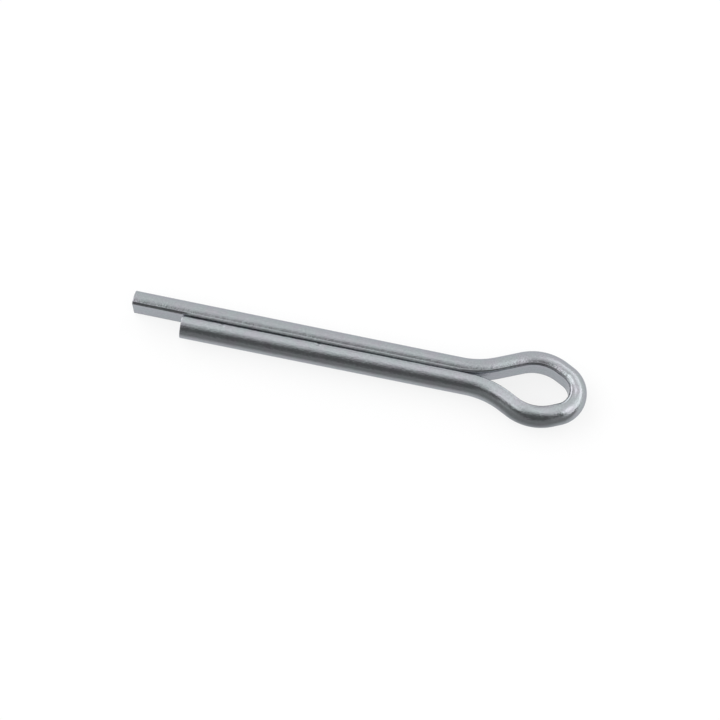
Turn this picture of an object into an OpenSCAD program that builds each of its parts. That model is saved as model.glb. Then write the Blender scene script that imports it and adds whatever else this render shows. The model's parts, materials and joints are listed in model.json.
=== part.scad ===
// Cotter pin: half-round wire folded flat side in, with an eye at the fold and two prongs.
// It lies on its side on z = 0, with its prongs towards -X, the long one at +Y, and its eye at +X.
// The shank's line is y = 0, and x = 0 is halfway along the pin.

/* [Wire] */
// Diameter of the two prongs together
shank_d = 3; // [2.4:0.05:3.6]
// Distance from the wire's flat to the centre of its round back
flat_inset = 0.05; // [0.02:0.01:0.2]
// Radius of the wire's two long edges
edge_r = 0.2; // [0.1:0.01:0.25]

/* [Prongs] */
// Length of the short prong, from the crotch to its tip
short_prong = 25; // [12:0.5:60]
// Length by which the long prong passes the short one
prong_step = 4.2; // [2:0.1:8]
// Gap between the prongs at the crotch
crotch_gap = 0.06; // [0.04:0.01:0.3]
// Angle by which each prong spreads towards its tip
spread = 0.12; // [0.05:0.01:0.4]

/* [Eye] */
// Width inside the eye
eye_w = 3.35; // [2.8:0.05:5]
// Angle at which each side of the eye leaves the crotch
flare = 25.3; // [20:0.1:31]
// Radius of the wire's flat in the bend at the crotch
crotch_r = 8; // [5:0.1:10]
// Radius of the wire's flat in the shoulder, where the eye is widest
shoulder_r = 3.15; // [2.6:0.05:4]
// Length of the straight wire between a shoulder and the bend at the eye's end
closing_len = 0.65; // [0.4:0.05:0.9]
// Radius of the wire's flat in the bend at the eye's end
end_r = 1.2; // [1:0.05:1.5]
// Angle by which the eye is turned off the shank's line
lean = -1.5; // [-3:0.1:3]
// Distance by which the eye's widest place lies off the shank's line, towards the long prong
eye_offset = 0.12; // [-0.3:0.01:0.3]

/* [Hidden] */
$fn = 96;

// A bend is this much fatter all round than straight wire
swell = 0.005;
// Straight wire runs this far into a bend
lap = 0.05;
// The circle that rounds a long edge stands this far out of the flat and the back, and so crosses them
bead = 0.002;

wire_r = shank_d / 2;
half_gap = crotch_gap / 2;

// The circle of edge_r that rounds a long edge of the wire touches the flat and the back, from inside
edge_z = sqrt(pow(wire_r - edge_r, 2) - pow(edge_r + flat_inset, 2));
lie_z = edge_z + edge_r + bead + swell;

// The eye's outline is the wire's flat, drawn from the point where its two flare lines cross. The
// shoulder's arc touches the flare line and the closing line, and the end's arc both closing lines.
shoulder_drop = shoulder_r - eye_w / 2;
shoulder_x = (shoulder_r - shoulder_drop * cos(flare)) / sin(flare);
flare_end = shoulder_x * cos(flare) - shoulder_drop * sin(flare);
radius_step = shoulder_r - end_r;
closing = acos(shoulder_drop / norm([radius_step, closing_len])) - atan(closing_len / radius_step);
end_x = shoulder_x + closing_len * cos(closing) + radius_step * sin(closing);

// Where the flare lines cross, in the shank's frame: the eye turns about its widest place
cross_x = shoulder_x * (1 - cos(lean));
cross_y = eye_offset - shoulder_x * sin(lean);

// A side's bend at the crotch touches its prong's line and its flare line, and leaves straight wire on
// the flare. way is 1 on the long prong's side and -1 on the short one's.
function turned(way) = flare + way * lean;
function meet_x(way) =
    (half_gap - way * cross_y + cross_x * tan(turned(way))) / (tan(turned(way)) + tan(spread));
function meet_on_flare(way) = (meet_x(way) - cross_x) / cos(turned(way));
function half_turn(way) = (turned(way) + spread) / 2;
function bend_r(way) = min(crotch_r, (flare_end - meet_on_flare(way) - lap) / tan(half_turn(way)));
function reach(way) = bend_r(way) * tan(half_turn(way));

// Halfway between the long prong's tip and the outside of the eye's end
eye_out_x = cross_x + end_x * cos(lean) + end_r + wire_r - flat_inset + swell;
middle_x = (eye_out_x - short_prong - prong_step) / 2;

// Section of the wire, with its flat on the Y axis and its round back towards +X
module section(extra = 0) {
    far_x = 2 * wire_r;
    far_y = edge_z * (far_x + flat_inset) / (edge_r + flat_inset);
    intersection() {
        translate([-flat_inset, 0]) circle(wire_r + extra);
        polygon([
            [-extra, -edge_z], [edge_r, -edge_z], [far_x, -far_y],
            [far_x, far_y], [edge_r, edge_z], [-extra, edge_z]
        ]);
    }
    for (side = [-1, 1]) translate([edge_r, side * edge_z]) circle(edge_r + bead + extra);
}

// Straight wire along +X with its back towards +Y, and what follows it
module straight(length, lap_on = lap) {
    translate([-lap, 0, 0]) rotate([90, 0, 90]) linear_extrude(length + lap + lap_on) section();
    translate([length, 0, 0]) children();
}

// Wire bent towards its flat, and what follows it
module bend_in(radius, angle) {
    translate([0, -radius, 0]) {
        rotate(90 - angle) rotate_extrude(angle = angle) translate([radius, 0]) section(swell);
        rotate(-angle) translate([0, radius, 0]) children();
    }
}

// Wire bent towards its back, and what follows it
module bend_out(radius, angle) {
    translate([0, radius, 0]) {
        rotate(-90) rotate_extrude(angle = angle) translate([radius, 0]) mirror([1, 0]) section(swell);
        rotate(angle) translate([0, -radius, 0]) children();
    }
}

// One side of the pin, from the bend at the eye's end to the prong's tip
module side(way, prong) {
    rotate(closing - 180) translate([0, end_r, 0])
        straight(closing_len)
            bend_in(shoulder_r, closing + flare)
                straight(flare_end - meet_on_flare(way) - reach(way))
                    bend_out(bend_r(way), 2 * half_turn(way))
                        straight(prong / cos(spread) + meet_x(way) - reach(way), 0);
}

module cotter_pin() {
    color("silver")
        translate([cross_x - middle_x, cross_y, lie_z])
            rotate(lean)
                translate([end_x, 0, 0]) {
                    rotate(closing - 90) rotate_extrude(angle = 180 - 2 * closing)
                        translate([end_r, 0]) section(swell);
                    side(-1, short_prong);
                    mirror([0, 1, 0]) side(1, short_prong + prong_step);
                }
}

cotter_pin();
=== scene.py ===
import json
import math

import bmesh
import bpy
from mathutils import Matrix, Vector


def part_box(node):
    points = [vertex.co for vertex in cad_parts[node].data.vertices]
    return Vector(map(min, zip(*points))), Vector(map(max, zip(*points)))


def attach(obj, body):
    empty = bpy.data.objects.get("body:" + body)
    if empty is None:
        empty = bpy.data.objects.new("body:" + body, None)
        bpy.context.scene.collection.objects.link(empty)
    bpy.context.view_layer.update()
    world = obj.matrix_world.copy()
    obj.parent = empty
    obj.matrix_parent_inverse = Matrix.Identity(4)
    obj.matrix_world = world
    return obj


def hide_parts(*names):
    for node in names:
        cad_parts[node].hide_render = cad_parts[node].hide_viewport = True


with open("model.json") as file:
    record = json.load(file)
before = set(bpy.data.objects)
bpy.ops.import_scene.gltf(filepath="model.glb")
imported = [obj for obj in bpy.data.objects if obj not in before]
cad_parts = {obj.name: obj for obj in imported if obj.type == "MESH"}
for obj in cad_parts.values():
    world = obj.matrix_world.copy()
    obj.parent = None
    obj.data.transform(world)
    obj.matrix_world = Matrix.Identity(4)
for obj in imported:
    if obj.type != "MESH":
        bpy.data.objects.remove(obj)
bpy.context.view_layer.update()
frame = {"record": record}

# ---------------------------------------------------------------- The wire
# The pin is one length of low-carbon steel wire. It is drawn through a half-round die, so its section is a
# D: a flat, a round back of just under half a circle, and two long edges that the die's worn corners leave
# as narrow bevels.

MM = 0.001
low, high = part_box("cotter_pin")
shank = next(m for m in frame["record"]["mounts"] if m["name"] == "shank")
skin_gap = 0.002 * MM        # by which the plated back lies inside the CAD solid's
back_r = shank["dims"]["r_mm"] * MM - skin_gap
flat_inset = 0.05 * MM       # from the flat to the centre of the round back
edge_r = 0.2 * MM

meet = math.radians(81.0)    # round the back, from its middle to where a bevel meets it
crisp = math.radians(0.3)    # from there to the back's next point, so that the corner shades as a corner
bevel_bulge = 0.008 * MM     # each bevel is this much rounder than a plain chamfer
bulge_power = 0.7            # below 1, so that the bulge is full nearly to the bevel's ends
bevel_slant = 0.7            # sine and cosine of the bevel's 45 degrees, for the way that it bulges
shallow = 0.082 * MM         # by which the flat is wider where the bevel is a shallow one
rim_draw = 0.4               # share of its inset by which a cut's rim draws the flat's corners in
flat_points, bevel_points, back_steps = 15, 8, 70


def wire_section(inset=0.0, proud=0.0, worn=0.0):
    """Points (out of the flat, across it) round the wire's section.

    inset draws the whole section in, proud lets its flat stand out, and worn takes the bevels from plain
    ones at 0 to shallow ones at 1.
    """
    reach = back_r - edge_r
    across = math.sqrt(reach ** 2 - (edge_r + flat_inset) ** 2) + shallow * worn
    radius = back_r - inset
    on_flat = (inset - proud, across - rim_draw * inset)
    on_back = (-flat_inset + radius * math.cos(meet), radius * math.sin(meet))

    bevel = []
    for i in range(1, bevel_points + 1):
        t = i / (bevel_points + 1)
        bulge = bevel_bulge * math.sin(math.pi * t) ** bulge_power * bevel_slant
        bevel.append((on_flat[0] + (on_back[0] - on_flat[0]) * t - bulge,
                      on_flat[1] + (on_back[1] - on_flat[1]) * t + bulge))

    flat = [(on_flat[0], on_flat[1] * (2 * i / (flat_points - 1) - 1)) for i in range(flat_points)]
    angles = [(meet - crisp) * (1 - 2 * i / back_steps) for i in range(back_steps + 1)]
    back = [(-flat_inset + radius * math.cos(a), radius * math.sin(a)) for a in [meet, *angles, -meet]]
    return flat + bevel + back + [(out, -over) for out, over in reversed(bevel)]


# ---------------------------------------------------------------- The fold
# The wire is folded flat side in round a teardrop mandrel, which leaves the eye, and it is closed past the
# mandrel so that its two prongs lie flat to flat. They spring apart a little towards their tips.

crotch_gap = 0.06 * MM
spread = math.radians(0.12)
eye_w = 3.35 * MM
flare = math.radians(25.3)
lean = math.radians(-1.5)
eye_offset = 0.12 * MM
crotch_r = 8 * MM
shoulder_r = 3.15 * MM
closing_len = 0.65 * MM
end_r = 1.2 * MM
prong_step = 4.2 * MM

# The eye's outline, from the point where its two flare lines cross
shoulder_drop = shoulder_r - eye_w / 2
shoulder_x = (shoulder_r - shoulder_drop * math.cos(flare)) / math.sin(flare)
flare_end = shoulder_x * math.cos(flare) - shoulder_drop * math.sin(flare)
radius_step = shoulder_r - end_r
closing = (math.acos(shoulder_drop / math.hypot(radius_step, closing_len))
           - math.atan(closing_len / radius_step))
end_x = shoulder_x + closing_len * math.cos(closing) + radius_step * math.sin(closing)

# Where they cross, in the shank's frame, and what the pin's length leaves for the prongs
cross_x = shoulder_x * (1 - math.cos(lean))
cross_y = eye_offset - shoulder_x * math.sin(lean)
eye_out = cross_x + end_x * math.cos(lean) + end_r + back_r - flat_inset
long_prong = high.x - low.x - eye_out
short_prong = long_prong - prong_step


def crotch(way, prong):
    """The bend at the crotch on one side, with the straight runs on its prong and on its flare.

    way is 1 on the long prong's side and -1 on the short one's.
    """
    turned = flare + way * lean
    rise = crotch_gap / 2 - way * cross_y + cross_x * math.tan(turned)
    meet_x = rise / (math.tan(turned) + math.tan(spread))
    half_turn = (turned + spread) / 2
    reach = crotch_r * math.tan(half_turn)
    on_flare = flare_end - (meet_x - cross_x) / math.cos(turned) - reach
    return prong / math.cos(spread) + meet_x - reach, (crotch_r, 2 * half_turn), on_flare


long_run, far_bend, far_flare = crotch(1, long_prong)
short_run, near_bend, near_flare = crotch(-1, short_prong)
shoulder_bend = (-shoulder_r, closing + flare)
# From the long prong's tip to the short one's. A length is straight wire. A pair is a bend, as the radius of
# the wire's flat and an angle: towards the wire's back, or towards its flat where the radius is negative.
fold = [
    long_run, far_bend, far_flare, shoulder_bend, closing_len, (-end_r, math.pi - 2 * closing),
    closing_len, shoulder_bend, near_flare, near_bend, short_run,
]


def fold_stations(straight_step, bend_step):
    """Places along the folded wire: the middle of its flat, its heading, and the length up to there."""
    here = Vector((low.x, crotch_gap / 2 + long_prong * math.tan(spread), (low.z + high.z) / 2))
    heading, length = -spread, 0.0
    stations = [(here, heading, length)]
    for run in fold:
        if isinstance(run, float):
            ahead = Vector((math.cos(heading), math.sin(heading), 0))
            steps = max(2, round(run / straight_step))
            stations += [(here + ahead * run * i / steps, heading, length + run * i / steps)
                         for i in range(1, steps + 1)]
            length += run
        else:
            radius, angle = run
            turn = math.copysign(angle, radius)
            centre = here + Vector((-math.sin(heading), math.cos(heading), 0)) * radius
            steps = max(2, round(angle / bend_step))
            for i in range(1, steps + 1):
                at = heading + turn * i / steps
                place = centre - Vector((-math.sin(at), math.cos(at), 0)) * radius
                stations.append((place, at, length + abs(radius) * angle * i / steps))
            heading += turn
            length += abs(radius) * angle
        here = stations[-1][0]
    return stations


# ---------------------------------------------------------------- The pin
# The folded wire's two prongs are cropped square in a shear, which rolls the rim of each cut over a little,
# and the pin is then tumbled, which nicks an edge here and there, and barrel-plated with bright zinc.

rim_r = 0.05 * MM
pressed_in = 0.02 * MM                     # by which each flat stands proud between the closed prongs
nicked_at = (3.32 * MM, 11.39 * MM)        # from the short prong's tip
nick_deep, nick_down = 0.025 * MM, 0.05 * MM


def cut_rings(outward):
    """Rings (distance past the last full section, inset, scale) that close a sheared end."""
    rings = [(rim_r * math.sin(a), rim_r * (1 - math.cos(a)), 1.0)
             for a in (math.radians(15 * i) for i in range(1, 7))]
    rings += [(rim_r, rim_r, scale) for scale in (0.8, 0.6, 0.4, 0.2)]
    return rings if outward else rings[::-1]


def proud_at(length, whole):
    """How far the flat stands proud: it comes in smoothly over a prong's first millimetre."""
    into = max(0.0, min(1.0, max(long_run - length, length - whole + short_run) / MM))
    return pressed_in * into * into * (3 - 2 * into)


def worn_at(length, whole):
    """How shallow the bevels are: fully where one prong faces the other and round the eye's near side."""
    marks = (
        (0.0, 0), (prong_step, 0),                      # the long prong's bare tip
        (prong_step + 0.6 * MM, 1), (long_run, 1),      # the rest of it, which faces the short one
        (long_run + 2.5 * MM, 0), (0.52 * whole, 0),    # from the crotch round the eye's far side
        (0.56 * whole, 1), (whole, 1),                  # the eye's near side, and the short prong
    )
    (from_length, from_worn), (to_length, to_worn) = next(
        pair for pair in zip(marks, marks[1:]) if length <= pair[1][0])
    return from_worn + (to_worn - from_worn) * (length - from_length) / (to_length - from_length)


def nicked(section):
    """The section with its upper corner, from the flat's last point to the back's second, knocked in."""
    corner = range(flat_points - 1, flat_points + bevel_points + 2)
    return [(a + nick_deep, b - nick_down) if i in corner else (a, b) for i, (a, b) in enumerate(section)]


def pin_rings(mesh):
    """Rings of vertices from the long prong's cut to the short one's, with the length at each."""
    stations = fold_stations(straight_step=0.16 * MM, bend_step=math.radians(1.0))
    (tip, tip_heading, start), (other_tip, other_heading, whole) = stations[0], stations[-1]
    nicks = [min((length for _, _, length in stations), key=lambda length: abs(length - whole + from_tip))
             for from_tip in nicked_at]
    middle_out = 0.6 * MM        # the point of the section that a cut's rings close on

    def ring(place, heading, section, shift=0.0, scale=1.0):
        ahead = Vector((math.cos(heading), math.sin(heading), 0))
        out = Vector((-math.sin(heading), math.cos(heading), 0))
        return [mesh.verts.new(place + ahead * shift + out * (middle_out + (a - middle_out) * scale)
                               + Vector((0, 0, b * scale))) for a, b in section]

    rings = []
    for past, inset, scale in cut_rings(outward=False):
        section = wire_section(inset, pressed_in)
        rings.append((ring(tip, tip_heading, section, rim_r - past, scale), start - past))
    for place, heading, length in stations:
        section = wire_section(0.0, proud_at(length, whole), worn_at(length, whole))
        if length in nicks:
            section = nicked(section)
        shift = {start: rim_r, whole: -rim_r}.get(length, 0.0)
        rings.append((ring(place, heading, section, shift), length))
    for past, inset, scale in cut_rings(outward=True):
        section = wire_section(inset, pressed_in, worn=1.0)
        rings.append((ring(other_tip, other_heading, section, past - rim_r, scale), whole + past))
    return rings


def build_pin():
    """The plated pin, with a map of the wire in millimetres: along it, and round its section."""
    mesh = bmesh.new()
    rings = pin_rings(mesh)
    wire_map = mesh.loops.layers.uv.new("wire")
    section = wire_section()
    around = [0.0]
    for a, b in zip(section, section[1:] + section[:1]):
        around.append(around[-1] + math.dist(a, b))
    for (ring, length), (next_ring, next_length) in zip(rings, rings[1:]):
        for j in range(len(section)):
            k = (j + 1) % len(section)
            face = mesh.faces.new((ring[j], ring[k], next_ring[k], next_ring[j]))
            corners = ((length, around[j]), (length, around[j + 1]),
                       (next_length, around[j + 1]), (next_length, around[j]))
            for loop, (u, v) in zip(face.loops, corners):
                loop[wire_map].uv = (u / MM, v / MM)
    for cut, _ in (rings[0], rings[-1]):
        mesh.faces.new(cut)
    for face in mesh.faces:
        face.smooth = True
    bmesh.ops.recalc_face_normals(mesh, faces=mesh.faces)
    data = bpy.data.meshes.new("cotter_pin_wire")
    mesh.to_mesh(data)
    mesh.free()
    made = bpy.data.objects.new("plated_cotter_pin", data)
    bpy.context.scene.collection.objects.link(made)
    return made


pin = build_pin()


def linear(code):
    """An sRGB hex colour as Blender's linear one."""
    parts = [int(code[i:i + 2], 16) / 255 for i in (1, 3, 5)]
    return tuple(c / 12.92 if c <= 0.04045 else ((c + 0.055) / 1.055) ** 2.4 for c in parts) + (1.0,)


def add(tree, kind, settings=None, links=None, **options):
    """Adds a node with its options, its input values and its links, each from a (node, output) pair."""
    node = tree.nodes.new(kind)
    for name, value in options.items():
        setattr(node, name, value)
    for name, value in (settings or {}).items():
        node.inputs[name].default_value = value
    for name, (source, output) in (links or {}).items():
        tree.links.new(source.outputs[output], node.inputs[name])
    return node


# Bright zinc electroplate on drawn steel: a cool grey metal a shade under polished. Its reflections have
# ragged, grainy edges, because the plate follows the drawn wire and adds a fine grain of its own.
zinc = bpy.data.materials.new("bright_zinc_plate")
zinc.use_nodes = True
tree = zinc.node_tree
shader = tree.nodes["Principled BSDF"]
shader.inputs["Metallic"].default_value = 1.0
shader.inputs["Specular Tint"].default_value = linear("#d8dade")
on_pin = add(tree, "ShaderNodeTexCoord")
on_wire = add(tree, "ShaderNodeUVMap", uv_map="wire")

# The plate's grain is a few hundredths of a millimetre, drawn here at 0.14 mm so that it shows
grain = add(tree, "ShaderNodeTexNoise", {"Scale": 1 / (0.14 * MM), "Detail": 2.0, "Roughness": 0.6},
            {"Vector": (on_pin, "Object")})
# The wire under it is uneven over about half a millimetre, from the rolls and from tumbling
uneven = add(tree, "ShaderNodeTexNoise", {"Scale": 1 / (0.55 * MM), "Detail": 1.0},
             {"Vector": (on_pin, "Object")})
# Draw lines run along the wire, 0.15 mm apart and some 4 mm long
along = add(tree, "ShaderNodeMapping", {"Scale": (1 / 4, 1 / 0.15, 1)}, {"Vector": (on_wire, "UV")})
lines = add(tree, "ShaderNodeTexNoise", {"Scale": 1.0, "Detail": 2.0}, {"Vector": (along, "Vector")})

height = add(tree, "ShaderNodeMath", {1: 0.014 * MM}, {0: (grain, "Fac")}, operation="MULTIPLY")
for source, depth in ((uneven, 0.012 * MM), (lines, 0.003 * MM)):
    height = add(tree, "ShaderNodeMath", {1: depth}, {0: (source, "Fac"), 2: (height, 0)},
                 operation="MULTIPLY_ADD")
bump = add(tree, "ShaderNodeBump", {"Strength": 1.0, "Distance": 1.0}, {"Height": (height, 0)})
tree.links.new(bump.outputs["Normal"], shader.inputs["Normal"])

# A plated surface is never one colour: it drifts between a mauve grey and a greener one over a millimetre,
# and each grain is a little lighter or darker than the next
drift = add(tree, "ShaderNodeTexNoise", {"Scale": 1 / (1.1 * MM), "Detail": 3.0},
            {"Vector": (on_pin, "Object")})
tint = add(tree, "ShaderNodeMapRange", {"From Min": 0.35, "From Max": 0.65}, {"Value": (drift, "Fac")})
colour = add(tree, "ShaderNodeMix", {6: linear("#aaaab0"), 7: linear("#a7aeb0")}, {0: (tint, "Result")},
             data_type="RGBA")
fleck = add(tree, "ShaderNodeMapRange", {"From Min": 0.3, "From Max": 0.7, "To Min": 0.92, "To Max": 1.07},
            {"Value": (grain, "Fac")})
colour = add(tree, "ShaderNodeVectorMath", None, {0: (colour, 2), "Scale": (fleck, "Result")},
             operation="SCALE")
tree.links.new(colour.outputs[0], shader.inputs["Base Color"])
dull = add(tree, "ShaderNodeMapRange", {"From Min": 0.3, "From Max": 0.7, "To Min": 0.14, "To Max": 0.20},
           {"Value": (uneven, "Fac")})
tree.links.new(dull.outputs["Result"], shader.inputs["Roughness"])
pin.data.materials.append(zinc)

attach(pin, "root")
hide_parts("cotter_pin")

# ---------------------------------------------------------------- The floor
# A flat sheet of matt white card, which the pin lies on. The card glows by itself to the eye, so that it is
# white and only a faint shadow falls on it. In the pin's reflections the card has a painted glow: bright
# near and behind the pin and dim in front of it, so that the pin's underside mirrors it darker.
half_card = 600 * MM
corners = [(x * half_card, y * half_card, 0) for x, y in ((-1, -1), (1, -1), (1, 1), (-1, 1))]
floor_data = bpy.data.meshes.new("white_floor")
floor_data.from_pydata(corners, [], [(0, 1, 2, 3)])
floor = bpy.data.objects.new("white_floor", floor_data)
bpy.context.scene.collection.objects.link(floor)
floor.location.z = low.z

card = bpy.data.materials.new("matt_white_card")
card.use_nodes = True
tree = card.node_tree
shader = tree.nodes["Principled BSDF"]
shader.inputs["Base Color"].default_value = linear("#707070")
shader.inputs["Roughness"].default_value = 1.0
shader.inputs["Specular IOR Level"].default_value = 0.0
path = add(tree, "ShaderNodeLightPath")
mirrored = add(tree, "ShaderNodeMath", None,
               {0: (path, "Is Glossy Ray"), 1: (path, "Is Transmission Ray")}, operation="MAXIMUM")
on_card = add(tree, "ShaderNodeTexCoord")
on_card = add(tree, "ShaderNodeSeparateXYZ", None, {"Vector": (on_card, "Object")})
# Painted reflection: in what the pin mirrors, the card glows bright near and behind the pin and dim in front
# of it
painted_reflection_ramp = add(tree, "ShaderNodeMapRange",
             {"From Min": -5.7 * MM, "From Max": -1.5 * MM, "To Min": 0.10, "To Max": 0.80},
             {"Value": (on_card, "Y")}, interpolation_type="SMOOTHSTEP")
mirrored = add(tree, "ShaderNodeMath", None, {0: (mirrored, 0), 1: (painted_reflection_ramp, "Result")},
               operation="MULTIPLY")
glow = add(tree, "ShaderNodeMath", {1: 0.8}, {0: (path, "Is Camera Ray"), 2: (mirrored, 0)},
           operation="MULTIPLY_ADD")
shader.inputs["Emission Color"].default_value = linear("#ffffff")
tree.links.new(glow.outputs[0], shader.inputs["Emission Strength"])
floor_data.materials.append(card)

# ---------------------------------------------------------------- The light
# A light tent of white cloth. Its pale walls stand behind the pin and past its tips, it is lit from above,
# it is open and brightest low down past the eye, and it is darkest towards the camera.
world = bpy.data.worlds.new("light_tent")
bpy.context.scene.world = world
world.use_nodes = True
tree = world.node_tree
towards = add(tree, "ShaderNodeTexCoord")


def panel(azimuth, elevation, inner, outer, strength):
    """Light from round one direction, full within the inner angle and gone at the outer one."""
    turn, rise = math.radians(azimuth), math.radians(elevation)
    facing = (math.cos(turn) * math.cos(rise), math.sin(turn) * math.cos(rise), math.sin(rise))
    dot = add(tree, "ShaderNodeVectorMath", {1: facing}, {0: (towards, "Generated")},
              operation="DOT_PRODUCT")
    return add(tree, "ShaderNodeMapRange",
               {"From Min": math.cos(math.radians(outer)), "From Max": math.cos(math.radians(inner)),
                "To Max": strength}, {"Value": (dot, "Value")}, interpolation_type="SMOOTHSTEP")


# The eye is at azimuth 0, the camera's side at -90. In degrees: azimuth, elevation, inner, outer; strength
panels = (
    (10, -35, 10, 85, 2.4),      # the open end, low down past the eye
    (150, -30, 75, 100, 0.85),   # the pale walls behind and past the tips
    (155, 32, 30, 45, 0.85),
    (65, 20, 5, 30, 0.65),
    (45, 45, 15, 25, 0.3),
    (180, 55, 0, 50, 1.3),       # the roof, past the tips
    (-25, 55, 20, 40, 0.9),      # the roof, before the eye
    (-105, 52, 0, 24, 0.4),      # the roof's front edge
    (-75, 60, 0, 18, 0.3),
    (60, 48, 5, 15, 1.7),        # lamps that show through the cloth
    (30, 42, 0, 12, 1.3),
    (-35, 30, 5, 20, 1.0),
    (-120, 39, 2, 13, 0.9),
    (-110, 3, 0, 15, 0.2),       # a little light along the table, from the front
)
cloth = 0.15                     # what the rest of the cloth gives
tent = add(tree, "ShaderNodeMath", {0: cloth, 1: 0.0}, operation="ADD")
for azimuth, elevation, inner, outer, strength in panels:
    share = panel(azimuth, elevation, inner, outer, strength)
    tent = add(tree, "ShaderNodeMath", None, {0: (tent, 0), 1: (share, "Result")}, operation="ADD")
background = tree.nodes["Background"]
background.inputs["Color"].default_value = linear("#ffffff")
tree.links.new(tent.outputs[0], background.inputs["Strength"])

# ---------------------------------------------------------------- The camera
# A long lens, looking down on the pin from its short prong's side.
look_down, look_round = math.radians(75.0), math.radians(11.83)
distance = 291.6 * MM
target = Vector((0.2, -0.4, 1.5)) * MM
back = Vector((math.sin(look_round) * math.cos(look_down), -math.cos(look_round) * math.cos(look_down),
               math.sin(look_down)))
lens = bpy.data.cameras.new("camera")
lens.lens = 180
lens.sensor_width = 36
lens.clip_start = 0.01
camera = bpy.data.objects.new("camera", lens)
bpy.context.scene.collection.objects.link(camera)
camera.location = target + back * distance
camera.rotation_euler = (math.pi / 2 - look_down, 0, look_round)
bpy.context.scene.camera = camera
bpy.context.scene.view_settings.view_transform = "Standard"
